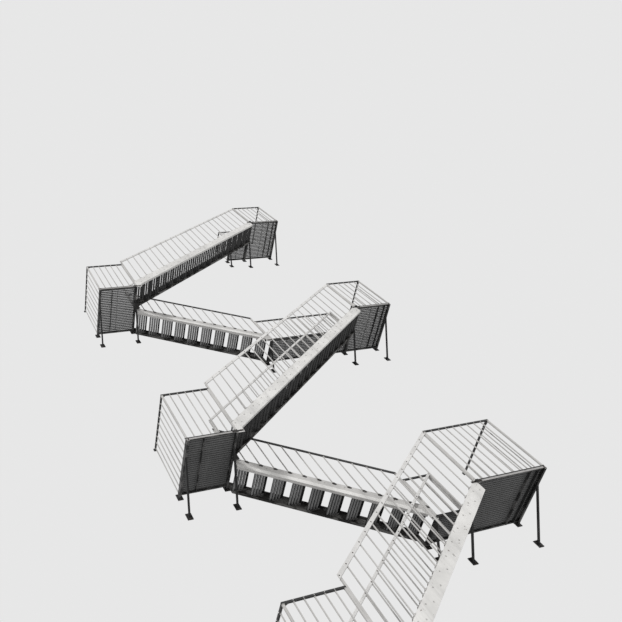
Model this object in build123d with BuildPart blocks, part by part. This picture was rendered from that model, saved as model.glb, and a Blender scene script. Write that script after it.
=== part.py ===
from build123d import *
import os
from math import atan2, cos

# Steel fire escape stair on a wall, seven flights with landings at both ends.
# X runs along the wall, Y points into the wall, Z is up, sizes in mm.
# The wall face is y = 0. The origin is on the back of the wall plate under
# the left strut of the first right landing.

# flights in climbing order: outer ones climb to the right, inner ones to the left
risers = [16, 11, 13, 11, 19, 11, 19]
riser = 172
going = 255
flight_w = 590
tread_deep = 250
tread_thick = 30
tread_slots = 2
tread_rim = 28
tread_end = 30

# stringers: channels with the flanges turned to the treads
stringer_depth = 190
stringer_web = 8
stringer_flange = 50
stringer_rise = 20
knee_l = 110

# landings
landing_d = 1250
wall_clear = 50
lane_gap = 20
left_w = 900
lower_right_w = 1370
upper_right_w = 920
top_inner_w = 560
floor_thick = 20
floor_rim = 25
floor_slots = 7
inner_slots = 4
floor_bar_w = 40

# landing beams and edges: channels with the flanges turned inwards
beam_depth = 50
beam_flange = 40
beam_web = 6
edge_depth = 30
edge_flange = 30
joist_w = 10
joist_depth = 40
joist_back = 300

# railings
rail_h = 1150
rail_t = 30
handrail_h = 60
handrail_w = 20
inner_rail_h = 780
post_w = 30
baluster = 16
baluster_pitch = 195
guard_pitch = 150
gusset_l = 100
gusset_t = 6
rail_flange = 60

# wall brackets and feet
plate_t = 12
plate_w = 100
plate_h = 130
strut_w = 30
strut_drop = 400
strut_reach = 900
short_drop = 260
short_reach = 480
foot_t = 15
foot_w = 140
foot_l = 240
part_gap = 2

# positions that follow from the sizes
slope = atan2(riser, going)
stringer_v = stringer_depth / cos(slope)
web_v = stringer_web / cos(slope)
outer_y = -landing_d
inner_y = -(wall_clear + flight_w)
divider_y = outer_y + flight_w + lane_gap
half_beam = beam_flange / 2

levels = [0]
for count in risers:
    levels.append(levels[-1] + count * riser)
ground_z = -(levels[1] - floor_thick - beam_depth - strut_drop)
levels = [ground_z + rise for rise in levels]
right_z = [levels[1], levels[3], levels[5], levels[7]]
left_z = [levels[2], levels[4], levels[6]]

left_edge = -half_beam - (risers[2] - 1) * going
left_end = left_edge - left_w
right_start = [left_edge + (risers[i] - 1) * going for i in (2, 2, 4, 6)]
right_end = [start + lower_right_w for start in right_start[:2]]
right_end += [start + upper_right_w for start in right_start[2:]]
inner_start = [left_edge + (risers[i] - 1) * going for i in (1, 3, 5)]
inner_start.append(right_start[3] - top_inner_w)
ground_start = right_start[0] - (risers[0] - 1) * going


def block(x0, x1, y0, y1, z0, z1):
    """A plain block between two corners."""
    with Locations(((x0 + x1) / 2, (y0 + y1) / 2, (z0 + z1) / 2)):
        Box(abs(x1 - x0), abs(y1 - y0), abs(z1 - z0))


def side_plate(points, y0, y1):
    """A flat outline in X and Z with a thickness from y0 to y1."""
    with BuildSketch(Plane.XZ.offset(-y0)) as outline:
        with BuildLine():
            Polyline(*points, close=True)
        make_face()
    extrude(to_extrude=outline.sketch, amount=-(y1 - y0))


def nose_z(x, x_low, z_low, s):
    """Height of the line through the tread noses of a flight."""
    return z_low + riser + s * (x - x_low) * riser / going


def add_stringer(x_low, z_low, n, s, y_out, turn):
    """One channel stringer with its web at y_out."""
    x_high = x_low + s * (n - 1) * going
    top_a = nose_z(x_low, x_low, z_low, s) + stringer_rise
    top_b = nose_z(x_high, x_low, z_low, s) + stringer_rise
    low_a, low_b = top_a - stringer_v, top_b - stringer_v
    knee_x = x_low + s * knee_l
    knee_z = low_a + knee_l * riser / going
    foot = z_low + foot_t if z_low == ground_z else z_low - floor_thick - beam_depth
    if foot < low_a:
        tail = [(knee_x, knee_z), (knee_x, foot), (x_low, foot)]
        flange_x, flange_z = knee_x, knee_z
    else:
        flange_x = x_low + s * (foot - low_a) * going / riser
        flange_z = foot
        tail = [(flange_x, foot), (x_low, foot)]
    y_web = y_out + turn * stringer_web
    y_flange = y_out + turn * stringer_flange
    side_plate([(x_low, top_a), (x_high, top_b), (x_high, low_b)] + tail, y_out, y_web)
    side_plate([(x_low, top_a), (x_high, top_b), (x_high, top_b - web_v), (x_low, top_a - web_v)],
               y_out, y_flange)
    side_plate([(flange_x, flange_z), (x_high, low_b), (x_high, low_b + web_v), (flange_x, flange_z + web_v)],
               y_out, y_flange)


def add_treads(x_low, z_low, n, s, y_out):
    """Slotted treads between the webs, one solid each."""
    width = flight_w - 2 * stringer_web
    y_mid = y_out + flight_w / 2
    slot = (tread_deep - (tread_slots + 1) * tread_rim) / tread_slots
    spots = []
    holes = []
    for i in range(1, n):
        nose = x_low + s * (i - 1) * going
        z = z_low + i * riser - tread_thick / 2
        spots.append((nose + s * tread_deep / 2, y_mid, z))
        for j in range(tread_slots):
            off = tread_rim + slot / 2 + j * (slot + tread_rim)
            holes.append((nose + s * off, y_mid, z))
    with Locations(*spots):
        Box(tread_deep, width, tread_thick)
    with Locations(*holes):
        Box(slot, width - 2 * tread_end, 2 * tread_thick, mode=Mode.SUBTRACT)


def add_flight_rail(x_low, z_low, n, s, y, height):
    """A sloping handrail on posts and bars that stand on the stringer."""
    run = (n - 1) * going
    top = height - handrail_h / cos(slope)
    count = round((run - post_w) / baluster_pitch)
    for i in range(count + 1):
        x = x_low + s * (post_w / 2 + (run - post_w) * i / count)
        w = post_w / 2 if i in (0, count) else baluster / 2
        a, b = x - w, x + w
        za, zb = nose_z(a, x_low, z_low, s), nose_z(b, x_low, z_low, s)
        side_plate([(a, za + stringer_rise), (b, zb + stringer_rise), (b, zb + top), (a, za + top)],
                   y - w, y + w)
    x_high = x_low + s * run
    za, zb = nose_z(x_low, x_low, z_low, s), nose_z(x_high, x_low, z_low, s)
    side_plate([(x_low, za + top), (x_high, zb + top), (x_high, zb + height), (x_low, za + height)],
               y - handrail_w / 2, y + handrail_w / 2)


def bars_between(length):
    """Number of spaces that bars leave along a level guard."""
    return max(2, round(length / guard_pitch))


def guard_x(x0, x1, y, z, height):
    """A level guard along X with a post at each end."""
    top = z + height - rail_t
    for x in (x0 + post_w / 2, x1 - post_w / 2):
        block(x - post_w / 2, x + post_w / 2, y - post_w / 2, y + post_w / 2, z, z + height)
    block(x0, x1, y - rail_t / 2, y + rail_t / 2, top, z + height)
    count = bars_between(x1 - x0 - post_w)
    step = (x1 - x0 - post_w) / count
    spots = [(x0 + post_w / 2 + i * step, y, (z + top) / 2) for i in range(1, count)]
    with Locations(*spots):
        Box(baluster, baluster, top - z)


def guard_y(x, y0, z, height):
    """A level guard along Y that runs back to a small plate on the wall."""
    top = z + height - rail_t
    y_end = -plate_t
    block(x - rail_t / 2, x + rail_t / 2, y0, y_end, top, z + height)
    block(x - rail_flange / 2, x + rail_flange / 2, y_end, 0,
          top + rail_t / 2 - rail_flange / 2, top + rail_t / 2 + rail_flange / 2)
    length = -wall_clear - y0 - post_w / 2
    count = bars_between(length)
    step = length / count
    spots = [(x, y0 + post_w / 2 + i * step, (z + top) / 2) for i in range(1, count)]
    spots.append((x, -wall_clear - baluster / 2, (z + top) / 2))
    with Locations(*spots):
        Box(baluster, baluster, top - z)


def corner_gusset(x, s, y, z):
    """A flat plate under the two top rails where a guard turns."""
    with BuildSketch(Plane.XY.offset(z)) as outline:
        with BuildLine():
            Polyline((x, y), (x - s * gusset_l, y), (x, y + gusset_l), close=True)
        make_face()
    extrude(to_extrude=outline.sketch, amount=gusset_t)


def channel_x(x0, x1, y, turn, z_top):
    """An edge channel along X, web at y and flanges turned by turn along Y."""
    z_low = z_top - edge_depth
    block(x0, x1, y, y + turn * beam_web, z_low, z_top)
    block(x0, x1, y, y + turn * edge_flange, z_top - beam_web, z_top)
    block(x0, x1, y, y + turn * edge_flange, z_low, z_low + beam_web)


def channel_y(x, turn, y0, y1, z_top):
    """A channel along Y, web at x and flanges turned by turn along X."""
    z_low = z_top - beam_depth
    block(x, x + turn * beam_web, y0, y1, z_low, z_top)
    block(x, x + turn * beam_flange, y0, y1, z_top - beam_web, z_top)
    block(x, x + turn * beam_flange, y0, y1, z_low, z_low + beam_web)


def landing_frame(x0, x1, z, end_side):
    """Two outriggers along Y, edge channels along X and a flat joist."""
    top = z - floor_thick
    xa, xb = x0 + beam_web, x1 - beam_web
    channel_y(x0, 1, outer_y, -plate_t, top)
    channel_y(x1, -1, outer_y, -plate_t, top)
    channel_x(xa, xb, outer_y, 1, top)
    channel_x(xa, xb, -wall_clear, -1, top)
    joist_x = x1 - joist_back if end_side == "right" else x0 + joist_back
    block(joist_x, joist_x + joist_w, outer_y + beam_web, -wall_clear - beam_web, top - joist_depth, top)


def extension_frame(x0, x1, z):
    """The part by the wall that reaches back to the inner flight."""
    top = z - floor_thick
    channel_y(x0, 1, divider_y, -plate_t, top)
    channel_x(x0 + beam_web, x1, divider_y, 1, top)
    channel_x(x0 + beam_web, x1, -wall_clear, -1, top)


def floor_panel(x0, x1, y0, y1, z, slots):
    """One panel of grating: a plate with long slots along X."""
    block(x0, x1, y0, y1, z - floor_thick, z)
    slot = (y1 - y0 - 2 * floor_rim - (slots - 1) * floor_bar_w) / slots
    spots = [((x0 + x1) / 2, y0 + floor_rim + slot / 2 + i * (slot + floor_bar_w), z - floor_thick / 2)
             for i in range(slots)]
    with Locations(*spots):
        Box(x1 - x0 - 2 * floor_rim, slot, 2 * floor_thick, mode=Mode.SUBTRACT)


def add_bracket(x_mid, z, reach, drop):
    """Two wall plates and a sloping strut under an outrigger."""
    under = z - floor_thick - beam_depth
    low = under - drop
    for z_plate in (under + beam_depth / 2, low):
        block(x_mid - plate_w / 2, x_mid + plate_w / 2, -plate_t, 0, z_plate - plate_h / 2, z_plate + plate_h / 2)
    with BuildSketch(Plane.YZ.offset(x_mid - strut_w / 2)) as strut:
        with BuildLine():
            Polyline((-plate_t, low - strut_w / 2), (-plate_t, low + strut_w / 2),
                     (strut_w * 2 - reach, under), (-reach, under), close=True)
        make_face()
    extrude(to_extrude=strut.sketch, amount=strut_w)


os.makedirs("parts", exist_ok=True)


def save(name, builder):
    builder.part.label = name
    export_step(builder.part, "parts/" + name + ".step")


# flights
for k, n in enumerate(risers):
    outer = k % 2 == 0
    s = 1 if outer else -1
    y_out = outer_y if outer else inner_y
    z_low = levels[k]
    if k == 0:
        x_low = ground_start
    elif outer:
        x_low = left_edge
    else:
        x_low = inner_start[k // 2]
    title = "flight" + str(k + 1)
    with BuildPart() as stringers:
        add_stringer(x_low, z_low, n, s, y_out, 1)
        add_stringer(x_low, z_low, n, s, y_out + flight_w, -1)
    save(title + "_stringers", stringers)
    with BuildPart() as treads:
        add_treads(x_low, z_low, n, s, y_out)
    save(title + "_treads", treads)
    with BuildPart() as railings:
        if outer:
            add_flight_rail(x_low, z_low, n, s, y_out + post_w / 2, rail_h)
            add_flight_rail(x_low, z_low, n, s, y_out + flight_w - post_w / 2, inner_rail_h)
        else:
            add_flight_rail(x_low, z_low, n, s, y_out + post_w / 2, inner_rail_h)
    save(title + "_railings", railings)

# left landings
for k, z in enumerate(left_z):
    title = "left_landing" + str(k + 1)
    with BuildPart() as frame:
        landing_frame(left_end, left_edge, z, "left")
    save(title + "_frame", frame)
    with BuildPart() as floor:
        floor_panel(left_end, left_edge, outer_y, -wall_clear, z, floor_slots)
    save(title + "_floor", floor)
    with BuildPart() as guard:
        guard_x(left_end, left_edge, outer_y + post_w / 2, z, rail_h)
        corner_gusset(left_end, -1, outer_y, z + rail_h - rail_t - gusset_t)
        guard_y(left_end + post_w / 2, outer_y + post_w + part_gap, z, rail_h)
    save(title + "_guard", guard)

# right landings
for k, z in enumerate(right_z):
    title = "right_landing" + str(k + 1)
    x0, x1, x_in = right_start[k], right_end[k], inner_start[k]
    with BuildPart() as frame:
        landing_frame(x0, x1, z, "right")
    save(title + "_frame", frame)
    with BuildPart() as floor:
        floor_panel(x0, x1, outer_y, -wall_clear, z, floor_slots)
        floor_panel(x_in, x0 - part_gap, divider_y, -wall_clear, z, inner_slots)
    save(title + "_floor", floor)
    with BuildPart() as guard:
        guard_x(x0, x1, outer_y + post_w / 2, z, rail_h)
        corner_gusset(x1, 1, outer_y, z + rail_h - rail_t - gusset_t)
        guard_y(x1 - post_w / 2, outer_y + post_w + part_gap, z, rail_h)
        guard_x(x_in, x0 - part_gap, divider_y + post_w / 2, z, inner_rail_h)
        if k == len(right_z) - 1:
            guard_y(x_in + post_w / 2, divider_y + post_w + part_gap, z, inner_rail_h)
    save(title + "_guard", guard)

with BuildPart() as extensions:
    for k, z in enumerate(right_z):
        extension_frame(inner_start[k], right_start[k], z)
save("extension_frames", extensions)

# wall brackets
with BuildPart() as brackets:
    for z in left_z:
        add_bracket(left_end + half_beam, z, strut_reach, strut_drop)
        add_bracket(left_edge - half_beam, z, strut_reach, strut_drop)
    for k, z in enumerate(right_z):
        add_bracket(right_start[k] + half_beam, z, strut_reach, strut_drop)
        add_bracket(right_end[k] - half_beam, z, strut_reach, strut_drop)
        add_bracket(inner_start[k] + half_beam, z, short_reach, short_drop)
save("wall_brackets", brackets)

# feet of the lowest flight
with BuildPart() as feet:
    for y in (outer_y + stringer_flange / 2, outer_y + flight_w - stringer_flange / 2):
        block(ground_start, ground_start + foot_l, y - foot_w / 2, y + foot_w / 2, ground_z, ground_z + foot_t)
save("ground_feet", feet)
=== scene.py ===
import math

import bmesh
import bpy
from bpy.props import FloatProperty, FloatVectorProperty, IntProperty, PointerProperty
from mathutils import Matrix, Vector


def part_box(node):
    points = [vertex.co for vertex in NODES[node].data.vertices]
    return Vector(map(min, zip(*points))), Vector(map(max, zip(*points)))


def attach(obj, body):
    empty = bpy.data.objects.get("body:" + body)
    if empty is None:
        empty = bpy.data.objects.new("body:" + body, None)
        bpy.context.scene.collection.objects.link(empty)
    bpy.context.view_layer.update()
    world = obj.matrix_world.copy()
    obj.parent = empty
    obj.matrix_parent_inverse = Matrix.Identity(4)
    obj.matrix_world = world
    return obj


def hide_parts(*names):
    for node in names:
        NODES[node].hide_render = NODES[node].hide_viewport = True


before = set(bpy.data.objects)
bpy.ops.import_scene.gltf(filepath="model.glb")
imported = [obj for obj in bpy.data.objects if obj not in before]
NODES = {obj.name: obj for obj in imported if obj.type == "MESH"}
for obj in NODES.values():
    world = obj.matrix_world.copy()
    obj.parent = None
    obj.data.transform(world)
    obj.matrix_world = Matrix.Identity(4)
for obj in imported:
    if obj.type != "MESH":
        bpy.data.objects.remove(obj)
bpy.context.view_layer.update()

bl_info = {
    "name": "Fire escape stair",
    "version": (1, 0, 0),
    "blender": (4, 5, 0),
    "location": "View3D > Sidebar > Fire escape",
    "description": "Treads, floors, rails, fixings and weathered paint of a fire escape stair",
    "category": "Object",
}

BODY = "root"
FLIGHTS = sorted(name[:-len("_stringers")] for name in NODES if name.endswith("_stringers"))
LANDINGS = sorted(name[:-len("_frame")] for name in NODES if name.endswith("_frame"))
TOP_LANDING = max(LANDINGS, key=lambda name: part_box(name + "_frame")[1].z)
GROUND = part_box("ground_feet")[0].z
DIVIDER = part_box("extension_frames")[0].y
CLEAR = 0.1  # how far a flight lies from the divider to count as an outer one

ROUNDING = 0.12  # how much of a bar's half width its taken-off edges use
BEAD = 0.003  # how far a weld bead stands out from its bar

X = Vector((1, 0, 0))
Y = Vector((0, 1, 0))
Z = Vector((0, 0, 1))


# Sizes and colours

def length(name, description, default):
    return FloatProperty(name=name, description=description, default=default, unit="LENGTH", precision=4)


def colour(name, description, default):
    return FloatVectorProperty(name=name, description=description, default=default, size=3, subtype="COLOR")


class StairSizes(bpy.types.PropertyGroup):
    """Sizes of the pieces that dress the frame."""

    riser: length("Riser", "Height from tread to tread", 0.172)
    going: length("Going", "Distance from nose to nose", 0.255)
    tread_deep: length("Tread depth", "Front to back of a tread", 0.250)
    tread_slat: length("Tread slat depth", "Depth of a tread slat", 0.024)
    nosing: length("Nosing", "Width of the angle along the nose of a tread", 0.028)
    tread_slats: IntProperty(name="Tread slats", description="Slats in one tread", default=4)
    tread_gap: length("Tread gap", "Gap between two slats of a tread", 0.019)
    floor_slat: length("Floor slat", "Width of a landing slat", 0.031)
    floor_gap: length("Floor gap", "Gap between two slats of a landing", 0.016)
    angle_leg: length("Angle leg", "Leg of the steel angles under the slats", 0.028)
    angle_thick: length("Angle thickness", "Thickness of the steel angles", 0.005)
    stringer_deep: length("Stringer depth", "Depth of a stringer, square to its slope", 0.190)
    stringer_rise: length("Stringer rise", "Height of a stringer above the line of the noses", 0.020)
    rail_height: length("Rail height", "Height of the outer rails", 1.150)
    inner_rail_height: length("Inner rail height", "Height of the inner rails", 0.780)
    handrail_deep: length("Handrail depth", "Depth of the high handrails", 0.060)
    inner_handrail_deep: length("Inner handrail depth", "Depth of the low handrails", 0.042)
    handrail_thick: length("Handrail thickness", "Thickness of the handrails", 0.020)
    top_rail: length("Top rail", "Width of the square top rails of the guards", 0.030)
    rail_post: length("Rail post", "Width of a rail post", 0.030)
    rail_bar: length("Rail bar", "Width of the bars in the rails", 0.016)
    bar_pitch: length("Bar pitch", "Spacing of the bars along a flight", 0.195)
    guard_pitch: length("Guard pitch", "Spacing of the bars round a landing", 0.150)
    gusset: length("Gusset", "Side of the corner gussets", 0.100)
    wall_flange: length("Wall flange", "Side of the plates at the end rails", 0.060)
    wall_plate: length("Wall plate", "Thickness of the wall plates", 0.012)
    wall_plate_high: length("Wall plate height", "Height of the wall plates", 0.130)
    wall_gap: length("Wall gap", "Gap behind the landing floors", 0.050)
    strut: length("Strut", "Width of the struts", 0.030)
    strip_deep: length("Edge strip", "Depth of the strip low on an inner stringer", 0.074)
    edge_deep: length("Edge depth", "Depth of the channels along the landing edges", 0.030)
    beam_web: length("Beam web", "Thickness of the webs of the landing beams", 0.006)
    bolt_small: length("Small bolt", "Half the width over corners of a small head", 0.0098)
    bolt_large: length("Large bolt", "Half the width over corners of an anchor nut", 0.0115)
    weld_leg: length("Weld leg", "Leg of a fillet weld", 0.006)


class StairColours(bpy.types.PropertyGroup):
    """Colours of the paints and the bare steel."""

    light_paint: colour("Light paint", "Outer stringers and edge strips", (0.75, 0.74, 0.72))
    inner_paint: colour("Inner paint", "Stringers of the inner flights", (0.56, 0.55, 0.535))
    # Painted shade: a near-black laid on the back stringer of each flight, where it lies in shade
    painted_shade: colour("Painted shade", "Back stringer of each flight", (0.020, 0.019, 0.018))
    rail_paint: colour("Rail paint", "Handrails of the outer flights", (0.74, 0.73, 0.715))
    bar_paint: colour("Bar paint", "Posts and bars of the rails", (0.56, 0.55, 0.535))
    inner_slats: colour("Inner slats", "Treads of the inner flights", (0.24, 0.24, 0.24))
    # Painted shade: the outer treads are made much darker than the inner ones because their undersides lie
    # in shade
    shaded_outer_slats: colour("Outer slats", "Treads of the outer flights", (0.060, 0.060, 0.060))
    slats: colour("Slats", "Landing floors", (0.13, 0.13, 0.13))
    # Partly painted shade: the top rails of the guards and the rails of the inner flights are near black
    # for the shade they lie in
    guard_paint: colour("Guard paint", "Rails of landings and inner flights", (0.045, 0.045, 0.045))
    # Painted light: the front faces of the landing frames are lighter where light falls on them
    lit_edge_paint: colour("Edge paint", "Outer edges of the landings", (0.42, 0.41, 0.40))
    # Partly painted shade: beams, struts, nosings and other frame parts are near black for the shade under
    # the landings and treads
    dark_paint: colour("Dark paint", "Beams and struts", (0.030, 0.030, 0.030))
    rust: colour("Rust", "Shows where the paint is gone", (0.085, 0.060, 0.048))
    fixings: colour("Fixings", "Bolts, nuts and washers", (0.050, 0.047, 0.044))


class StageSettings(bpy.types.PropertyGroup):
    """Floor, light and camera."""

    backdrop: colour("Backdrop", "Colour behind the stair", (0.80, 0.80, 0.80))
    floor: colour("Floor", "Colour of the floor", (0.72, 0.72, 0.72))
    key_strength: FloatProperty(name="Key light", description="Strength of the main lamp", default=2.3)
    fill_strength: FloatProperty(name="Fill light", description="Strength of the second lamp", default=0.45)
    sky_strength: FloatProperty(name="Sky light", description="Strength of the even light", default=0.36)
    camera_place: FloatVectorProperty(
        name="Camera place", description="Where the camera stands", size=3,
        subtype="TRANSLATION", unit="LENGTH", default=(-7.654, -7.903, -0.542))
    camera_turn: FloatVectorProperty(
        name="Camera turn", description="Rotation of the camera in degrees", size=3,
        default=(151.193, 17.349, -3.863))
    camera_lens: FloatProperty(name="Lens", description="Focal length for a 36 mm sensor", default=36.771)
    camera_shift: FloatVectorProperty(
        name="Lens shift", description="Shift of the lens, as a share of the frame",
        size=2, default=(0.3006, -0.0338))


# Mesh making

def ring(centre, axis, radius, sides, turn=0.0):
    """Points on a circle round an axis."""
    side = axis.orthogonal().normalized()
    other = axis.cross(side)
    angles = [turn + math.tau * i / sides for i in range(sides)]
    return [centre + radius * (side * math.cos(a) + other * math.sin(a)) for a in angles]


class Shape:
    """Corners and faces of one piece, gathered before its mesh is made."""

    def __init__(self):
        self.corners = []
        self.faces = []

    def add(self, corners, faces):
        start = len(self.corners)
        self.corners.extend(corners)
        self.faces.extend([tuple(start + i for i in face) for face in faces])

    def bar(self, low, high):
        """A square-edged bar between two opposite corners."""
        corners = [Vector((x, y, z)) for x in (low[0], high[0]) for y in (low[1], high[1])
                   for z in (low[2], high[2])]
        self.add(corners, [(0, 1, 3, 2), (4, 6, 7, 5), (0, 4, 5, 1),
                           (2, 3, 7, 6), (0, 2, 6, 4), (1, 5, 7, 3)])

    def layers(self, rings):
        """A solid through rings of equally many points, closed at both ends."""
        n = len(rings[0])
        last = (len(rings) - 1) * n
        faces = [tuple(range(n)), tuple(range(last, last + n))]
        for row in range(0, last, n):
            faces += [(row + i, row + (i + 1) % n, row + n + (i + 1) % n, row + n + i) for i in range(n)]
        self.add([p for points in rings for p in points], faces)

    def prism(self, outline, along):
        """An outline pushed out along a vector."""
        self.layers([outline, [p + along for p in outline]])

    def rod(self, start, end, half_a, half_b, chamfer=0.002):
        """A bar between two cut ends, with its long edges taken off."""
        inner_a = half_a * (1 - chamfer / half_a.length)
        inner_b = half_b * (1 - chamfer / half_b.length)
        section = [half_a + inner_b, inner_a + half_b, half_b - inner_a, inner_b - half_a,
                   -half_a - inner_b, -inner_a - half_b, inner_a - half_b, half_a - inner_b]
        self.layers([[start + p for p in section], [end + p for p in section]])

    def disc(self, centre, axis, radius, thick, sides, turn=0.0):
        """A flat round or six-sided piece standing on its centre along the axis."""
        self.prism(ring(centre, axis, radius, sides, turn), axis * thick)

    def bolt(self, centre, axis, radius, turn=0.0):
        """A washer and a six-sided head with its top corners taken off."""
        washer = 0.18 * radius
        self.disc(centre, axis, 1.28 * radius, washer, 12)
        foot = centre + axis * washer
        head = 0.52 * radius
        self.disc(foot, axis, radius, head, 6, turn)
        self.disc(foot + axis * head, axis, 0.86 * radius, 0.13 * radius, 12, turn)

    def anchor(self, centre, axis, radius, turn=0.0):
        """A washer, a nut and the threaded end of a rod."""
        washer = 0.2 * radius
        self.disc(centre, axis, 1.4 * radius, washer, 14)
        foot = centre + axis * washer
        nut = 0.8 * radius
        self.disc(foot, axis, radius, nut, 6, turn)
        self.disc(foot + axis * nut, axis, 0.88 * radius, 0.1 * radius, 12, turn)
        thread = []
        for i in range(7):
            reach = 0.56 if i % 2 else 0.48
            thread.append(ring(foot + axis * (nut + 0.1 * radius * (i + 1)), axis, reach * radius, 10))
        self.layers(thread)

    def rivet(self, centre, axis, radius):
        """A low domed head."""
        self.layers([ring(centre + axis * lift * radius, axis, share * radius, 8)
                     for share, lift in ((1.0, 0.0), (0.84, 0.32), (0.42, 0.54))])

    def weld(self, start, end, side_a, side_b, leg):
        """A rippled fillet weld in the corner between two faces."""
        count = max(3, round((end - start).length / (0.8 * leg)))
        rings = []
        for i in range(count + 1):
            here = start.lerp(end, i / count)
            swell = leg * (1.0 + 0.14 * math.sin(2.4 * i) + 0.07 * math.sin(1.1 * i + 1))
            rings.append([here, here + side_a * swell, here + (side_a + side_b) * 0.62 * swell,
                          here + side_b * swell])
        self.layers(rings)

    def piece(self, name, slot, material, stands_for=()):
        """Makes the object, sets its finish and lets it ride on the frame."""
        if not self.corners:
            raise RuntimeError("nothing was made for " + name)
        mesh = bpy.data.meshes.new(name)
        mesh.from_pydata([tuple(p) for p in self.corners], [], self.faces)
        work = bmesh.new()
        work.from_mesh(mesh)
        bmesh.ops.recalc_face_normals(work, faces=work.faces)
        work.to_mesh(mesh)
        work.free()
        mesh.materials.append(material)
        item = bpy.data.objects.new(name, mesh)
        bpy.context.scene.collection.objects.link(item)
        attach(item, BODY)
        if stands_for:
            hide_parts(*stands_for)
        return item


# What the frame says

class Flight:
    """Where one flight of the frame runs."""

    def __init__(self, name, sizes):
        self.name = name
        low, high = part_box(name + "_stringers")
        treads_low, treads_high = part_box(name + "_treads")
        self.y0, self.y1 = low.y, high.y
        self.run = high.x - low.x
        self.outer = low.y < DIVIDER - CLEAR
        self.way = 1 if self.outer else -1
        self.start = low.x if self.outer else high.x
        self.end = self.start + self.way * self.run
        self.count = round(self.run / sizes.going)
        self.slope = sizes.riser / sizes.going
        self.first_top = treads_high.z - (self.count - 1) * sizes.riser
        self.tread_y = (treads_low.y, treads_high.y)
        self.along = Vector((self.way, 0, self.slope)).normalized()
        self.up = Vector((-self.way * self.slope, 0, 1)).normalized()
        self.steep = self.along.x * self.way  # cosine of the slope

    def nose(self, index, sizes):
        """X of a tread's nose and Z of its top, the lowest tread being 0."""
        return self.start + self.way * index * sizes.going, self.first_top + index * sizes.riser

    def line(self, x):
        """Height of the line through the noses."""
        return self.first_top + self.slope * self.way * (x - self.start)

    def bars(self, sizes):
        """X of each rail bar, the posts at both ends included."""
        run = self.run - sizes.rail_post
        count = round(run / sizes.bar_pitch)
        return [self.start + self.way * (sizes.rail_post / 2 + run * i / count) for i in range(count + 1)]

    def rails(self, sizes):
        """Y and height of each sloping rail."""
        half = sizes.rail_post / 2
        if self.outer:
            return [(self.y0 + half, sizes.rail_height), (self.y1 - half, sizes.inner_rail_height)]
        return [(self.y0 + half, sizes.inner_rail_height)]


class Landing:
    """Where one landing of the frame lies."""

    def __init__(self, name):
        self.name = name
        self.low, self.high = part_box(name + "_frame")
        self.floor_low, self.floor_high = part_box(name + "_floor")
        self.right = name.startswith("right")
        self.top = self.floor_high.z
        self.end = self.high.x if self.right else self.low.x
        self.inward = -1 if self.right else 1


# Finishes

def node(tree, kind, **inputs):
    """Adds a shader node and sets its plain inputs."""
    item = tree.nodes.new(kind)
    for key, value in inputs.items():
        item.inputs[key.replace("_", " ")].default_value = value
    return item


def grain(tree, scale, detail=4.0, stretch=(1, 1, 1), rough=0.55):
    """Noise in the part's own metres."""
    place = tree.nodes.new("ShaderNodeTexCoord")
    mapping = node(tree, "ShaderNodeMapping", Scale=stretch)
    tree.links.new(place.outputs["Object"], mapping.inputs["Vector"])
    noise = node(tree, "ShaderNodeTexNoise", Scale=scale, Detail=detail, Roughness=rough)
    tree.links.new(mapping.outputs["Vector"], noise.inputs["Vector"])
    return noise.outputs["Fac"]


def ramp(tree, value, low, high):
    """0 below low, 1 above high."""
    item = node(tree, "ShaderNodeMapRange", From_Min=low, From_Max=high)
    item.interpolation_type = "SMOOTHSTEP"
    tree.links.new(value, item.inputs["Value"])
    return item.outputs["Result"]


def combine(tree, kind, a, b):
    """Joins two values, or a value and a number, and keeps the result from 0 to 1."""
    item = tree.nodes.new("ShaderNodeMath")
    item.operation = kind
    item.use_clamp = True
    for socket, value in zip(item.inputs, (a, b)):
        if isinstance(value, (int, float)):
            socket.default_value = value
        else:
            tree.links.new(value, socket)
    return item.outputs[0]


def blend(tree, share, a, b):
    """Blends two colours."""
    item = tree.nodes.new("ShaderNodeMix")
    item.data_type = "RGBA"
    tree.links.new(share, item.inputs["Factor"])
    for socket, value in ((item.inputs["A"], a), (item.inputs["B"], b)):
        if isinstance(value, (tuple, list)):
            socket.default_value = (*value[:3], 1)
        else:
            tree.links.new(value, socket)
    return item.outputs["Result"]


def worn_edges(tree, radius):
    """1 along sharp edges, broken up by noise, and the softened normal."""
    soft = tree.nodes.new("ShaderNodeBevel")
    soft.samples = 4
    soft.inputs["Radius"].default_value = radius
    geometry = tree.nodes.new("ShaderNodeNewGeometry")
    dot = tree.nodes.new("ShaderNodeVectorMath")
    dot.operation = "DOT_PRODUCT"
    tree.links.new(soft.outputs["Normal"], dot.inputs[0])
    tree.links.new(geometry.outputs["Normal"], dot.inputs[1])
    flat = ramp(tree, dot.outputs["Value"], 0.90, 0.995)
    edge = combine(tree, "SUBTRACT", 1.0, flat)
    broken = ramp(tree, grain(tree, 26, 5), 0.44, 0.62)
    return combine(tree, "MULTIPLY", edge, broken), soft.outputs["Normal"]


def shade(colour, factor):
    return tuple(min(1.0, c * factor) for c in colour)


def new_finish(name):
    """An empty finish. Its name differs from those of the plain colours that come with the frame."""
    material = bpy.data.materials.new(name + "_finish")
    material.use_nodes = True
    return material


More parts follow.
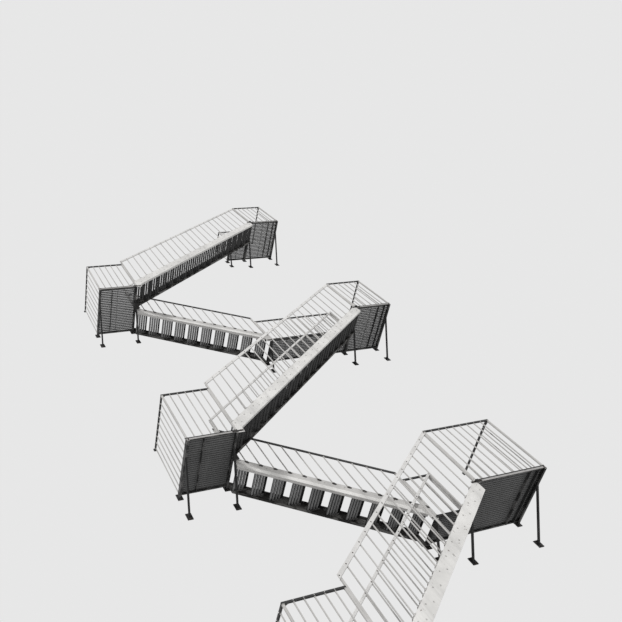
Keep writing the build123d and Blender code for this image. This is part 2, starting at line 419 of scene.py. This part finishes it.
def weathered_paint(name, colour, rust, roughness, chips, streaks, wear,
                    painted_shade=None, painted_shade_from=0.0, grime=0.0, skin_depth=0.0006):
    """Brushed paint on steel: uneven tone, runs of dirt, chips down to rust and worn edges.

    Painted shade covers all that lies further back than the given depth, for the shade behind the front
    faces. Upright faces are darkened with painted shade, for the shade in the gaps between slats.
    """
    material = new_finish(name)
    tree = material.node_tree
    shader = tree.nodes["Principled BSDF"]
    shader.inputs["Specular IOR Level"].default_value = 0.2
    cloudy = ramp(tree, grain(tree, 2.3, 5), 0.32, 0.68)
    tone = blend(tree, cloudy, shade(colour, 0.86), shade(colour, 1.06))
    brushed = ramp(tree, grain(tree, 60, 3, (1, 1, 0.25)), 0.35, 0.75)
    tone = blend(tree, combine(tree, "MULTIPLY", brushed, 0.25), tone, shade(colour, 0.78))
    run = ramp(tree, grain(tree, 9, 6, (1, 1, 0.09)), 0.50, 0.78)
    tone = blend(tree, combine(tree, "MULTIPLY", run, streaks), tone, shade(colour, 0.42))
    # Painted shade: all that lies further back than the given depth turns to the dark colour, broken a
    # little by noise
    if painted_shade:
        place = tree.nodes.new("ShaderNodeTexCoord")
        parts = tree.nodes.new("ShaderNodeSeparateXYZ")
        tree.links.new(place.outputs["Object"], parts.inputs["Vector"])
        beyond = ramp(tree, parts.outputs["Y"], painted_shade_from, painted_shade_from + 0.01)
        cloud = ramp(tree, grain(tree, 5, 5), 0.20, 0.55)
        shade_cover = combine(tree, "MULTIPLY", beyond, combine(tree, "MAXIMUM", cloud, 0.8))
        tone = blend(tree, shade_cover, tone, painted_shade)
    # Painted shade: upright faces are darkened towards a tenth of the colour, for the shade in the gaps
    # between slats
    if grime:
        geometry = tree.nodes.new("ShaderNodeNewGeometry")
        parts = tree.nodes.new("ShaderNodeSeparateXYZ")
        tree.links.new(geometry.outputs["Normal"], parts.inputs["Vector"])
        level = tree.nodes.new("ShaderNodeMath")
        level.operation = "ABSOLUTE"
        tree.links.new(parts.outputs["Z"], level.inputs[0])
        upright = combine(tree, "SUBTRACT", 1.0, ramp(tree, level.outputs[0], 0.35, 0.80))
        tone = blend(tree, combine(tree, "MULTIPLY", upright, grime), tone, shade(colour, 0.10))
    chip = ramp(tree, grain(tree, 17, 9, rough=0.68), 0.70 - chips, 0.715 - chips)
    edge, normal = worn_edges(tree, 0.0025)
    bare = combine(tree, "MAXIMUM", chip, combine(tree, "MULTIPLY", edge, wear))
    rusty = blend(tree, ramp(tree, grain(tree, 48, 6), 0.35, 0.65), shade(rust, 0.55), shade(rust, 1.25))
    tree.links.new(blend(tree, bare, tone, rusty), shader.inputs["Base Color"])
    rough = node(tree, "ShaderNodeMapRange", To_Min=roughness, To_Max=0.92)
    tree.links.new(bare, rough.inputs["Value"])
    uneven = combine(tree, "MULTIPLY", grain(tree, 31, 4), 0.14)
    tree.links.new(combine(tree, "ADD", rough.outputs["Result"], uneven), shader.inputs["Roughness"])
    skin = node(tree, "ShaderNodeBump", Strength=0.32, Distance=skin_depth)
    height = combine(tree, "SUBTRACT", grain(tree, 210, 3), combine(tree, "MULTIPLY", bare, 0.3))
    tree.links.new(height, skin.inputs["Height"])
    tree.links.new(normal, skin.inputs["Normal"])
    tree.links.new(skin.outputs["Normal"], shader.inputs["Normal"])
    return material


def bare_steel(name, colour, rust):
    """Dull fixings with patches of rust."""
    material = new_finish(name)
    tree = material.node_tree
    shader = tree.nodes["Principled BSDF"]
    shader.inputs["Metallic"].default_value = 0.4
    share = ramp(tree, grain(tree, 38, 5), 0.38, 0.64)
    tree.links.new(blend(tree, share, shade(colour, 1.3), shade(rust, 0.9)), shader.inputs["Base Color"])
    rough = node(tree, "ShaderNodeMapRange", To_Min=0.42, To_Max=0.85)
    tree.links.new(share, rough.inputs["Value"])
    tree.links.new(rough.outputs["Result"], shader.inputs["Roughness"])
    skin = node(tree, "ShaderNodeBump", Strength=0.4, Distance=0.0004)
    tree.links.new(grain(tree, 330, 3), skin.inputs["Height"])
    tree.links.new(skin.outputs["Normal"], shader.inputs["Normal"])
    return material


# How each kind of paint has weathered. More chips lower the noise level above which the paint is gone.
LIGHT_WEAR = {"roughness": 0.76, "chips": 0.052, "streaks": 0.38, "wear": 0.8}
EDGE_WEAR = {"roughness": 0.55, "chips": 0.040, "streaks": 0.45, "wear": 0.6}
RAIL_WEAR = {"roughness": 0.76, "chips": -0.010, "streaks": 0.35, "wear": 0.25, "skin_depth": 0.0002}
BAR_WEAR = {**RAIL_WEAR, "wear": 0.20}
# The slats take painted shade on their upright faces
SLAT_WEAR = {"roughness": 0.58, "chips": 0.030, "streaks": 0.35, "wear": 0.3, "grime": 0.9}
GUARD_WEAR = {"roughness": 0.50, "chips": -0.010, "streaks": 0.25, "wear": 0.15}
DARK_WEAR = {"roughness": 0.50, "chips": 0.030, "streaks": 0.30, "wear": 0.4}


def finish(name):
    """A finish that the paint step has made."""
    if name + "_finish" not in bpy.data.materials:
        raise RuntimeError("run the paint step first")
    return bpy.data.materials[name + "_finish"]


# The steps

class StairStep:
    """What every step shares."""

    bl_options = {"REGISTER"}

    def flights(self, context):
        return [Flight(name, context.scene.stair_sizes) for name in FLIGHTS]

    def landings(self):
        return [Landing(name) for name in LANDINGS]


class STAIR_OT_paint(StairStep, bpy.types.Operator):
    """Makes the finishes and gives each piece of the frame its own."""

    bl_idname = "stair.paint"
    bl_label = "Paint the frame"

    def execute(self, context):
        paints = context.scene.stair_colours
        rust = tuple(paints.rust)
        painted_shade = tuple(paints.painted_shade)
        dark = tuple(paints.dark_paint)
        light = tuple(paints.light_paint)
        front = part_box(LANDINGS[0] + "_frame")[0].y
        outer_middle, inner_middle, behind_edge = front + 0.25, DIVIDER + 0.29, front + 0.001
        # Painted shade: each stringer turns dark behind the middle of its flight
        weathered_paint("outer_stringer_paint", light, rust, painted_shade=painted_shade, painted_shade_from=outer_middle,
                        **LIGHT_WEAR)
        weathered_paint("inner_stringer_paint", tuple(paints.inner_paint), rust, painted_shade=painted_shade,
                        painted_shade_from=inner_middle, **LIGHT_WEAR)
        # Painted light and shade: the front faces of the frames keep the lighter colour, all behind them
        # turns dark
        weathered_paint("frame_paint", tuple(paints.lit_edge_paint), rust, painted_shade=dark, painted_shade_from=behind_edge,
                        **EDGE_WEAR)
        weathered_paint("light_paint", light, rust, **LIGHT_WEAR)
        for name, paint, wear in (
                ("rail_paint", paints.rail_paint, RAIL_WEAR), ("bar_paint", paints.bar_paint, BAR_WEAR),
                ("slat_steel", paints.slats, SLAT_WEAR),
                ("inner_slat_steel", paints.inner_slats, SLAT_WEAR),
                ("outer_slat_steel", paints.shaded_outer_slats, SLAT_WEAR),
                ("guard_paint", paints.guard_paint, GUARD_WEAR), ("dark_paint", dark, DARK_WEAR)):
            weathered_paint(name, tuple(paint), rust, **wear)
        bare_steel("fixings", tuple(paints.fixings), rust)
        endings = (("_treads", "slat_steel"), ("_floor", "slat_steel"), ("_guard", "guard_paint"),
                   ("_railings", "rail_paint"), ("_frame", "frame_paint"))
        for name, item in NODES.items():
            paint = next((p for ending, p in endings if name.endswith(ending)), "dark_paint")
            if name.endswith("_stringers"):
                lane = "outer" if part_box(name)[0].y < DIVIDER - CLEAR else "inner"
                paint = lane + "_stringer_paint"
            item.data.materials.clear()
            item.data.materials.append(finish(paint))
        return {"FINISHED"}


class STAIR_OT_treads(StairStep, bpy.types.Operator):
    """Builds each tread from flat slats on two end angles and bolts it to the stringers."""

    bl_idname = "stair.treads"
    bl_label = "Treads"

    def execute(self, context):
        sizes = context.scene.stair_sizes
        bolt_reaches, bolt_drop = (0.045, 0.165), 0.014
        for flight in self.flights(context):
            treads, nosings, rivets, bolts = Shape(), Shape(), Shape(), Shape()
            for index in range(flight.count):
                self.tread(treads, nosings, rivets, flight, index, sizes)
                x, top = flight.nose(index, sizes)
                for reach in bolt_reaches:
                    for face, axis in ((flight.y0, -Y), (flight.y1, Y)):
                        spot = Vector((x + flight.way * reach, face, top - bolt_drop))
                        bolts.bolt(spot, axis, 0.8 * sizes.bolt_small, index + reach)
            # Outer flights take the darker tread steel: painted shade
            steel = finish("outer_slat_steel" if flight.outer else "inner_slat_steel")
            plain = (flight.name + "_treads",)
            treads.piece(flight.name + "_slatted_treads", "grating", steel, plain)
            nosings.piece(flight.name + "_nosings", "grating", finish("dark_paint"), plain)
            rivets.piece(flight.name + "_tread_rivets", "grating", finish("fixings"))
            bolts.piece(flight.name + "_tread_bolts", "light_paint", finish("bar_paint"))
        return {"FINISHED"}

    def tread(self, treads, nosings, rivets, flight, index, sizes):
        y0, y1 = flight.tread_y
        way = flight.way
        leg, thick = sizes.angle_leg, sizes.angle_thick
        count, gap = sizes.tread_slats, sizes.tread_gap
        width = (sizes.tread_deep - sizes.nosing) / count - gap
        rivet, chamfer = 0.007, 0.0015
        x, top = flight.nose(index, sizes)
        under = top - sizes.tread_slat
        middle = (top + under) / 2
        for i in range(count):
            centre = x + way * (sizes.nosing + gap + i * (width + gap) + width / 2)
            treads.rod(Vector((centre, y0 + thick, middle)), Vector((centre, y1 - thick, middle)),
                       X * width / 2, Z * sizes.tread_slat / 2, chamfer)
            for y in (y0 + 0.5 * leg, y1 - 0.5 * leg):
                rivets.rivet(Vector((centre, y, top)), Z, rivet)
                rivets.rivet(Vector((centre, y, under - thick)), -Z, rivet)
        back = x + way * sizes.tread_deep
        nosings.bar((x, y0 + thick, under - thick), (x + way * thick, y1 - thick, top))
        nosings.bar((x + way * thick, y0 + thick, top - thick), (x + way * sizes.nosing, y1 - thick, top))
        for wall, turn in ((y0, 1), (y1, -1)):
            treads.bar((x, wall, under - thick), (back, wall + turn * thick, top))
            treads.bar((x + way * thick, wall + turn * thick, under - thick),
                       (back, wall + turn * leg, under))


class STAIR_OT_floors(StairStep, bpy.types.Operator):
    """Lays each landing floor with flat slats that run lengthwise."""

    bl_idname = "stair.floors"
    bl_label = "Landing floors"

    def execute(self, context):
        sizes = context.scene.stair_sizes
        joint = 0.002
        for landing in self.landings():
            floor, rivets = Shape(), Shape()
            low, high = landing.floor_low, landing.floor_high
            main = landing.low.x
            self.panel(floor, rivets, (main, high.x), (low.y, high.y), low.z, high.z, sizes)
            if landing.right:
                self.panel(floor, rivets, (low.x, main - joint), (DIVIDER, high.y), low.z, high.z, sizes)
            floor.piece(landing.name + "_slatted_floor", "grating", finish("slat_steel"),
                        (landing.name + "_floor",))
            rivets.piece(landing.name + "_floor_rivets", "grating", finish("fixings"))
        return {"FINISHED"}

    def panel(self, floor, rivets, span_x, span_y, low, top, sizes):
        (x0, x1), (y0, y1) = span_x, span_y
        rim, rivet, chamfer = 0.006, 0.006, 0.0015
        spacing, inset, half_bearer, recess = 0.40, 0.020, 0.004, 0.003
        slat = sizes.floor_slat
        count = round((y1 - y0 - 2 * rim + sizes.floor_gap) / (slat + sizes.floor_gap))
        gap = (y1 - y0 - 2 * rim - count * slat) / (count - 1)
        under = low + 0.001
        spaces = max(2, round((x1 - x0) / spacing))
        bearers = [x0 + inset + i * (x1 - x0 - 2 * inset) / spaces for i in range(spaces + 1)]
        for i in range(count):
            y = y0 + rim + i * (slat + gap) + slat / 2
            middle = (top + under) / 2
            floor.rod(Vector((x0 + rim, y, middle)), Vector((x1 - rim, y, middle)),
                      Y * slat / 2, Z * (top - middle), chamfer)
            for x in bearers:
                rivets.rivet(Vector((x, y, top)), Z, rivet)
        for x in bearers:
            floor.bar((x - half_bearer, y0 + rim, low + recess), (x + half_bearer, y1 - rim, top - recess))
        for x in (x0, x1 - rim):
            floor.bar((x, y0, low), (x + rim, y1, top))
        for y in (y0, y1 - rim):
            floor.bar((x0 + rim, y, low), (x1 - rim, y + rim, top))


class STAIR_OT_flight_rails(StairStep, bpy.types.Operator):
    """Builds the sloping rails: flat handrail, posts, bars, foot plates and their fixings."""

    bl_idname = "stair.flight_rails"
    bl_label = "Flight rails"

    def execute(self, context):
        sizes = context.scene.stair_sizes
        for flight in self.flights(context):
            rails, bars, bolts = Shape(), Shape(), Shape()
            for y, height in flight.rails(sizes):
                self.rail(rails, bars, bolts, flight, y, height, sizes)
            node_name = flight.name + "_railings"
            # Inner flights take the near-black rail colour: painted shade
            rail_finish = "rail_paint" if flight.outer else "guard_paint"
            rails.piece(flight.name + "_handrails", "rail_paint", finish(rail_finish), (node_name,))
            bars.piece(flight.name + "_rail_bars", "rail_paint", finish("bar_paint"), (node_name,))
            bolts.piece(flight.name + "_rail_bolts", "dark_paint", finish("fixings"))
        return {"FINISHED"}

    def rail(self, rails, bars, bolts, flight, y, height, sizes):
        rivet, chamfer, collar_high = 0.010, 0.004, 0.006
        high = height == sizes.rail_height
        deep = (sizes.handrail_deep if high else sizes.inner_handrail_deep) / flight.steep
        half_deep = Z * deep / 2
        half_thick = Y * sizes.handrail_thick / 2
        ends = [Vector((x, y, flight.line(x) + height - deep / 2)) for x in (flight.start, flight.end)]
        rails.rod(ends[0], ends[1], half_deep, half_thick, chamfer)
        spots = flight.bars(sizes)
        for i, x in enumerate(spots):
            post = i in (0, len(spots) - 1)
            half = (sizes.rail_post if post else sizes.rail_bar) / 2
            lean = X + Z * flight.slope * flight.way
            low = Vector((x, y, flight.line(x) + sizes.stringer_rise))
            top = Vector((x, y, flight.line(x) + height - deep))
            bars.rod(low, top, lean * half, Y * half, ROUNDING * half)
            collar = half + BEAD
            bars.rod(top - Z * collar_high, top, lean * collar, Y * collar, 0.001)
            self.foot(bars, bolts, flight, low, half)
            for turn in (-1, 1):
                face = y + turn * sizes.handrail_thick / 2
                bolts.rivet(Vector((x, face, top.z + deep / 2)), Y * turn, rivet)

    def foot(self, bars, bolts, flight, spot, half):
        plate, half_wide, plate_out, bolt_out, bolt_radius = 0.003, 0.019, 0.022, 0.011, 0.0075
        reach = flight.along * (half + plate_out)
        centre = spot + flight.up * plate
        bars.rod(centre - reach, centre + reach, flight.up * plate, Y * half_wide, 0.001)
        for turn in (-1, 1):
            place = spot + flight.up * 2 * plate + flight.along * turn * (half + bolt_out)
            bolts.bolt(place, flight.up, bolt_radius)


class STAIR_OT_clamps(StairStep, bpy.types.Operator):
    """Clamps the rail feet of the inner flights and runs a strip along their lower edge."""

    bl_idname = "stair.clamps"
    bl_label = "Rail clamps and edge strips"

    def execute(self, context):
        sizes = context.scene.stair_sizes
        for flight in self.flights(context):
            if flight.outer:
                continue
            plates, bolts, strip = Shape(), Shape(), Shape()
            thick, drop, half_long, half_high, corner_count = 0.003, 0.030, 0.036, 0.018, 16
            bolt_out, bolt_radius = 0.019, 0.0075
            for i, x in enumerate(flight.bars(sizes)):
                centre = Vector((x, flight.y0 - thick, flight.line(x) + sizes.stringer_rise - drop))
                front = centre - Y * thick
                angles = [math.tau * k / corner_count for k in range(corner_count)]
                corners = [front + flight.along * half_long * math.cos(a)
                           + flight.up * half_high * math.sin(a) for a in angles]
                plates.prism(corners, Y * 2 * thick)
                for turn in (-1, 1):
                    bolts.bolt(front + flight.along * turn * bolt_out, -Y, bolt_radius, 0.5 * i)
            level = sizes.stringer_rise - (sizes.stringer_deep - 0.5 * sizes.strip_deep) / flight.steep
            past_knee, end_gap = 0.14, 0.01
            ends = [Vector((x, flight.y0 - thick, flight.line(x) + level))
                    for x in (flight.start + flight.way * past_knee, flight.end - flight.way * end_gap)]
            strip.rod(ends[0], ends[1], Z * 0.5 * sizes.strip_deep / flight.steep, Y * thick, 0.001)
            strip.piece(flight.name + "_edge_strip", "light_paint", finish("light_paint"))
            plates.piece(flight.name + "_rail_clamps", "guard_paint", finish("guard_paint"))
            bolts.piece(flight.name + "_clamp_bolts", "guard_paint", finish("fixings"))
        return {"FINISHED"}


class STAIR_OT_guards(StairStep, bpy.types.Operator):
    """Builds the guards round the landings: posts, bars, top rails, gussets and wall plates."""

    bl_idname = "stair.guards"
    bl_label = "Landing guards"

    def execute(self, context):
        sizes = context.scene.stair_sizes
        half, joint = sizes.rail_post / 2, 0.002
        for landing in self.landings():
            self.rails, self.bars, self.rivets, self.bolts = Shape(), Shape(), Shape(), Shape()
            low, high, top = landing.low, landing.high, landing.top
            outer = low.y + half
            self.along_wall(low.x, high.x, outer, top, sizes.rail_height, sizes)
            self.gusset(landing.end, landing.inward, low.y, top + sizes.rail_height - sizes.top_rail, sizes)
            self.to_wall(landing.end + landing.inward * half, outer + half, top, sizes.rail_height, sizes)
            if landing.right:
                start = landing.floor_low.x
                self.along_wall(start, low.x - joint, DIVIDER + half, top, sizes.inner_rail_height, sizes)
                if landing.name == TOP_LANDING:
                    self.to_wall(start + half, DIVIDER + 2 * half, top, sizes.inner_rail_height, sizes)
            guard = (landing.name + "_guard",)
            self.rails.piece(landing.name + "_top_rails", "guard_paint", finish("guard_paint"), guard)
            self.bars.piece(landing.name + "_guard_bars", "rail_paint", finish("bar_paint"), guard)
            self.rivets.piece(landing.name + "_guard_rivets", "rail_paint", finish("rail_paint"))
            self.bolts.piece(landing.name + "_guard_bolts", "dark_paint", finish("fixings"))
        return {"FINISHED"}

    def upright(self, x, y, z, height, half, sizes):
        """A post or bar with a weld collar at each end."""
        top = z + height - sizes.top_rail
        self.bars.rod(Vector((x, y, z)), Vector((x, y, top)), X * half, Y * half, ROUNDING * half)
        thick, collar = 0.005, half + BEAD
        for low in (z, top - thick):
            self.bars.rod(Vector((x, y, low)), Vector((x, y, low + thick)), X * collar, Y * collar, 0.001)

    def along_wall(self, x0, x1, y, z, height, sizes):
        half, rail = sizes.rail_post / 2, sizes.top_rail / 2
        bolt_out, bolt_radius, rivet = 0.012, 0.0065, 0.007
        level = z + height - rail
        self.rails.rod(Vector((x0, y, level)), Vector((x1, y, level)), Y * rail, Z * rail, 0.003)
        for x in (x0 + half, x1 - half):
            self.upright(x, y, z, height, half, sizes)
            for turn in (-1, 1):
                self.bolts.bolt(Vector((x + turn * (half + bolt_out), y, z)), Z, bolt_radius)
        span = x1 - x0 - sizes.rail_post
        count = max(2, round(span / sizes.guard_pitch))
        for i in range(1, count):
            x = x0 + half + i * span / count
            self.upright(x, y, z, height, sizes.rail_bar / 2, sizes)
            self.rivets.rivet(Vector((x, y - rail, level)), -Y, rivet)

    def to_wall(self, x, y0, z, height, sizes):
        rail = sizes.top_rail / 2
        bolt_up, bolt_radius, rivet = 0.0225, 0.0055, 0.009
        level = z + height - rail
        wall = -sizes.wall_plate
        self.rails.rod(Vector((x, y0, level)), Vector((x, wall, level)), X * rail, Z * rail, 0.003)
        flange = sizes.wall_flange / 2
        self.rails.rod(Vector((x, wall, level)), Vector((x, 0, level)), X * flange, Z * flange, 0.004)
        for turn in (-1, 1):
            self.bolts.bolt(Vector((x, wall, level + turn * bolt_up)), -Y, bolt_radius)
        span = -sizes.wall_gap - y0
        count = max(2, round(span / sizes.guard_pitch))
        spots = [y0 + i * span / count for i in range(1, count)]
        for y in spots + [-sizes.wall_gap - sizes.rail_bar / 2]:
            self.upright(x, y, z, height, sizes.rail_bar / 2, sizes)
            for turn in (-1, 1):
                self.rivets.rivet(Vector((x + turn * rail, y, level)), X * turn, rivet)

    def gusset(self, x, inward, y, z, sizes):
        side, thick, inset, rivet = sizes.gusset, 0.006, 0.010, 0.006
        corners = [Vector((x, y, z)), Vector((x + inward * side, y, z)), Vector((x, y + side, z))]
        self.rails.prism(corners, -Z * thick)
        rivets_along = (0.050, 0.078)
        for reach in rivets_along:
            for across, out in ((reach, inset), (inset, reach)):
                self.bolts.rivet(Vector((x + inward * across, y + out, z - thick)), -Z, rivet)


class STAIR_OT_wall_fixings(StairStep, bpy.types.Operator):
    """Anchors the wall plates and welds the struts at both ends."""

    bl_idname = "stair.wall_fixings"
    bl_label = "Wall anchors and welds"

    def execute(self, context):
        sizes = context.scene.stair_sizes
        anchors, welds = Shape(), Shape()
        wall, anchor_up = -sizes.wall_plate, 0.046
        for low, high in loose_parts(NODES["wall_brackets"].data):
            x = (low.x + high.x) / 2
            z = low.z + sizes.wall_plate_high / 2
            for turn in (-1, 1):
                anchors.anchor(Vector((x, wall, z + turn * anchor_up)), -Y, sizes.bolt_large, 7 * x + z)
            if high.y - low.y > 2 * sizes.wall_plate:
                self.strut_welds(welds, x, z, low.y, high.z, sizes)
        anchors.piece("wall_anchors", "dark_paint", finish("fixings"))
        welds.piece("strut_welds", "dark_paint", finish("dark_paint"))
        return {"FINISHED"}

    def strut_welds(self, welds, x, z, y_end, z_end, sizes):
        half = sizes.strut / 2
        wall = -sizes.wall_plate
        for turn in (-1, 1):
            side = x + turn * half
            welds.weld(Vector((side, wall, z - half)), Vector((side, wall, z + half)), X * turn, -Y,
                       sizes.weld_leg)
            welds.weld(Vector((x - half, wall, z + turn * half)), Vector((x + half, wall, z + turn * half)),
                       Z * turn, -Y, sizes.weld_leg)
            welds.weld(Vector((side, y_end, z_end)), Vector((side, y_end + 4 * half, z_end)), X * turn, -Z,
                       0.8 * sizes.weld_leg)


class STAIR_OT_beam_fixings(StairStep, bpy.types.Operator):
    """Joins the landing beams with cleats, bolts and splice plates."""

    bl_idname = "stair.beam_fixings"
    bl_label = "Beam cleats and splices"

    def execute(self, context):
        sizes = context.scene.stair_sizes
        self.plates, self.bolts = Shape(), Shape()
        web, leg, thick, bolt_in = sizes.beam_web, 0.040, 0.005, 0.024
        joist_in, joist_wide, joist_deep = 0.140, 0.010, 0.040
        lug_back, lug_past, lug_out, lug_in = 0.030, 0.020, 0.042, 0.006
        reach = 0.4 * sizes.edge_deep
        for landing in self.landings():
            low, high = landing.low, landing.high
            middle = high.z - sizes.edge_deep / 2
            if landing.right:
                joist = high.x - joist_in
                self.plates.bar((joist, low.y + web, high.z - joist_deep),
                                (joist + joist_wide, -sizes.wall_gap - web, high.z))
            for x, way in ((low.x + web, 1), (high.x - web, -1)):
                for y, turn in ((low.y + web, 1), (-sizes.wall_gap - web, -1)):
                    for dx, dy in ((way * leg, turn * thick), (way * thick, turn * leg)):
                        self.plates.bar((x, y, middle - reach), (x + dx, y + dy, middle + reach))
                    self.bolts.bolt(Vector((x - way * web, y + turn * bolt_in, middle)), -X * way,
                                    sizes.bolt_small)
                self.bolts.bolt(Vector((x + way * bolt_in, low.y, middle)), -Y, sizes.bolt_small)
        for flight in self.flights(context):
            if flight.outer:
                level = self.edge_level(flight.line(flight.end), sizes)
                self.splice(flight, flight.end, level, sizes)
                self.plates.bar((flight.end - lug_back, flight.y0 - lug_out, level - reach),
                                (flight.end + lug_past, flight.y0 - lug_in, level + reach))
            if flight.name != FLIGHTS[0]:
                level = self.edge_level(flight.first_top - sizes.riser, sizes)
                self.splice(flight, flight.start, level, sizes)
        self.plates.piece("frame_cleats", "dark_paint", finish("dark_paint"))
        self.bolts.piece("frame_bolts", "dark_paint", finish("fixings"))
        return {"FINISHED"}

    def edge_level(self, floor, sizes):
        """Middle height of the edge channel of the landing at a floor level."""
        landing = min(self.landings(), key=lambda item: abs(item.top - floor))
        return landing.high.z - sizes.edge_deep / 2

    def splice(self, flight, x, level, sizes):
        """A bolted plate over the joint of a stringer and the edge of a landing."""
        reach, half, thick, bolts_along = 0.100, 0.014, 0.006, (-0.080, -0.045, 0.045, 0.080)
        middle = flight.y0 - thick / 2
        self.plates.rod(Vector((x - reach, middle, level)), Vector((x + reach, middle, level)),
                        Y * thick / 2, Z * half, 0.001)
        for along in bolts_along:
            self.bolts.bolt(Vector((x + along, flight.y0 - thick, level)), -Y, sizes.bolt_small, along)


class STAIR_OT_ground_fixings(StairStep, bpy.types.Operator):
    """Anchors the two feet of the lowest flight."""

    bl_idname = "stair.ground_fixings"
    bl_label = "Ground anchors"

    def execute(self, context):
        sizes = context.scene.stair_sizes
        anchors = Shape()
        left_in, right_in, side_in = 0.150, 0.030, 0.022
        for low, high in loose_parts(NODES["ground_feet"].data):
            for x in (low.x + left_in, high.x - right_in):
                for y in (low.y + side_in, high.y - side_in):
                    anchors.anchor(Vector((x, y, high.z)), Z, sizes.bolt_large, x + y)
        anchors.piece("ground_anchors", "dark_paint", finish("fixings"))
        return {"FINISHED"}


def loose_parts(mesh):
    """The lowest and highest corner of each solid in a mesh."""
    root = list(range(len(mesh.vertices)))

    def find(i):
        while root[i] != i:
            root[i] = root[root[i]]
            i = root[i]
        return i

    spots = {}
    for i, vertex in enumerate(mesh.vertices):
        key = tuple(round(c, 5) for c in vertex.co)
        root[find(i)] = find(spots.setdefault(key, i))
    for edge in mesh.edges:
        root[find(edge.vertices[0])] = find(edge.vertices[1])
    groups = {}
    for i, vertex in enumerate(mesh.vertices):
        groups.setdefault(find(i), []).append(vertex.co)
    return [(Vector([min(c) for c in zip(*group)]), Vector([max(c) for c in zip(*group)]))
            for group in groups.values()]


class STAIR_OT_stage(StairStep, bpy.types.Operator):
    """Sets up the floor, the light and the camera."""

    bl_idname = "stair.stage"
    bl_label = "Stage"

    def execute(self, context):
        stage = context.scene.stair_stage
        self.floor(stage)
        self.world(context, stage)
        self.lamp("key_lamp", stage.key_strength, turn=(48, 0, -38), softness=9)
        self.lamp("fill_lamp", stage.fill_strength, turn=(62, 0, 52), softness=30)
        self.camera(context, stage)
        context.scene.view_settings.view_transform = "Standard"
        return {"FINISHED"}

    def floor(self, stage):
        half = 60.0
        mesh = bpy.data.meshes.new("stage_floor")
        mesh.from_pydata([(x * half, y * half, GROUND) for x, y in ((-1, -1), (1, -1), (1, 1), (-1, 1))],
                         [], [(0, 1, 2, 3)])
        material = bpy.data.materials.new("stage_floor")
        material.use_nodes = True
        tree = material.node_tree
        shader = tree.nodes["Principled BSDF"]
        shader.inputs["Roughness"].default_value = 0.9
        tint = tuple(stage.floor)
        tree.links.new(blend(tree, grain(tree, 1.5, 4), shade(tint, 0.98), shade(tint, 1.02)),
                       shader.inputs["Base Color"])
        mesh.materials.append(material)
        floor = bpy.data.objects.new("stage_floor", mesh)
        bpy.context.scene.collection.objects.link(floor)

    def world(self, context, stage):
        world = bpy.data.worlds.new("studio")
        world.use_nodes = True
        context.scene.world = world
        tree = world.node_tree
        tree.nodes.clear()
        light = tree.nodes.new("ShaderNodeBackground")
        light.inputs["Color"].default_value = (1, 1, 1, 1)
        light.inputs["Strength"].default_value = stage.sky_strength
        shown = tree.nodes.new("ShaderNodeBackground")
        shown.inputs["Color"].default_value = (*stage.backdrop, 1)
        rays = tree.nodes.new("ShaderNodeLightPath")
        seen = combine(tree, "MAXIMUM", rays.outputs["Is Camera Ray"], rays.outputs["Is Glossy Ray"])
        seen = combine(tree, "MAXIMUM", seen, rays.outputs["Is Transmission Ray"])
        mix = tree.nodes.new("ShaderNodeMixShader")
        out = tree.nodes.new("ShaderNodeOutputWorld")
        tree.links.new(seen, mix.inputs["Fac"])
        tree.links.new(light.outputs[0], mix.inputs[1])
        tree.links.new(shown.outputs[0], mix.inputs[2])
        tree.links.new(mix.outputs[0], out.inputs["Surface"])

    def lamp(self, name, strength, turn, softness):
        """A distant lamp. Turn and softness are in degrees."""
        data = bpy.data.lights.new(name, "SUN")
        data.energy = strength
        data.angle = math.radians(softness)
        lamp = bpy.data.objects.new(name, data)
        lamp.rotation_euler = [math.radians(a) for a in turn]
        bpy.context.scene.collection.objects.link(lamp)

    def camera(self, context, stage):
        data = bpy.data.cameras.new("camera")
        data.sensor_width = 36.0
        data.lens = stage.camera_lens
        data.shift_x, data.shift_y = stage.camera_shift
        data.clip_end = 500.0
        camera = bpy.data.objects.new("camera", data)
        camera.location = stage.camera_place
        camera.rotation_euler = [math.radians(a) for a in stage.camera_turn]
        context.scene.collection.objects.link(camera)
        context.scene.camera = camera


class STAIR_PT_panel(bpy.types.Panel):
    """Lists the sizes, the colours and the steps in the sidebar."""

    bl_label = "Fire escape stair"
    bl_space_type = "VIEW_3D"
    bl_region_type = "UI"
    bl_category = "Fire escape"

    def draw(self, context):
        for group in (context.scene.stair_sizes, context.scene.stair_colours, context.scene.stair_stage):
            box = self.layout.box()
            for key in group.__annotations__:
                box.prop(group, key)
        for step in STEPS:
            self.layout.operator(step.bl_idname)


STEPS = (STAIR_OT_paint, STAIR_OT_treads, STAIR_OT_floors, STAIR_OT_flight_rails, STAIR_OT_clamps,
         STAIR_OT_guards, STAIR_OT_wall_fixings, STAIR_OT_beam_fixings, STAIR_OT_ground_fixings,
         STAIR_OT_stage)
GROUPS = (StairSizes, StairColours, StageSettings)


def register():
    for item in (*GROUPS, *STEPS, STAIR_PT_panel):
        bpy.utils.register_class(item)
    bpy.types.Scene.stair_sizes = PointerProperty(type=StairSizes)
    bpy.types.Scene.stair_colours = PointerProperty(type=StairColours)
    bpy.types.Scene.stair_stage = PointerProperty(type=StageSettings)


def unregister():
    del bpy.types.Scene.stair_sizes, bpy.types.Scene.stair_colours, bpy.types.Scene.stair_stage
    for item in reversed((*GROUPS, *STEPS, STAIR_PT_panel)):
        bpy.utils.unregister_class(item)


def main():
    register()
    for step in STEPS:
        group, name = step.bl_idname.split(".")
        getattr(getattr(bpy.ops, group), name)()
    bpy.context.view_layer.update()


if __name__ == "__main__":
    main()
